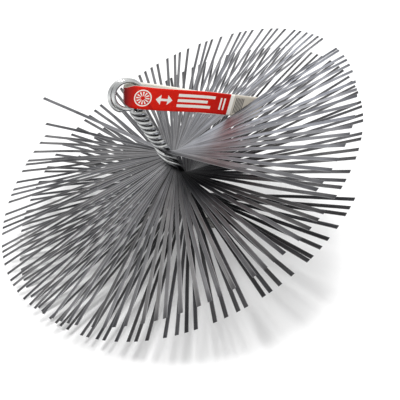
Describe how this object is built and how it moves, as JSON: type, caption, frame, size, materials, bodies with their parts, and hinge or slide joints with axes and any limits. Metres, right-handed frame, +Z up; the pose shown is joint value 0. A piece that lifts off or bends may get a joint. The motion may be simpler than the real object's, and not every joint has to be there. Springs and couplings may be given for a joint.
{
  "type": "chimney sweep brush",
  "caption": "Round flue brush of flat steel strips fanned in a spiral through a twisted wire stem, with an eye on top, a rod thread below and a swinging card tag.",
  "frame": {"origin": "centre of the bounding box on the ground, under the leaning brush", "axes": "+Z up; the stem leans towards -X, so its eye is over -X and its rod thread stands on the ground at +X; +Y runs across the brush, along the axis it leans about"},
  "size_m": [0.2266, 0.2486, 0.1338],
  "materials": {
    "strip_steel": "rolled spring steel, lightly oiled",
    "stem_wire": "bright zinc plating",
    "turned_steel": "turned, zinc plated",
    "tag_card": "printed gloss card, white inside"
  },
  "bodies": {
    "brush": {"strips_01": "strip_steel", "strips_02": "strip_steel", "strips_03": "strip_steel", "strips_04": "strip_steel", "strips_05": "strip_steel", "strips_06": "strip_steel", "strips_07": "strip_steel", "strips_08": "strip_steel", "strips_09": "strip_steel", "strips_10": "strip_steel", "strips_11": "strip_steel", "strips_12": "strip_steel", "strips_13": "strip_steel", "strips_14": "strip_steel", "strips_15": "strip_steel", "strips_16": "strip_steel", "strips_17": "strip_steel", "strips_18": "strip_steel", "strips_19": "strip_steel", "strips_20": "strip_steel", "strips_21": "strip_steel", "strips_22": "strip_steel", "strips_23": "strip_steel", "strips_24": "strip_steel", "strips_25": "strip_steel", "strips_26": "strip_steel", "strips_27": "strip_steel", "strips_28": "strip_steel", "hairpin_wire_front": "stem_wire", "hairpin_wire_back": "stem_wire", "threaded_end": "turned_steel"},
    "tag": {"size_tag": "tag_card"}
  },
  "joints": [
    {"name": "tag_swing", "type": "hinge", "parent": "brush", "child": "tag", "pos_m": [-0.02435, -0.00002, 0.11309], "axis": [-0.0306, -0.9994, -0.0167], "range_deg": [0, 235]}
  ]
}
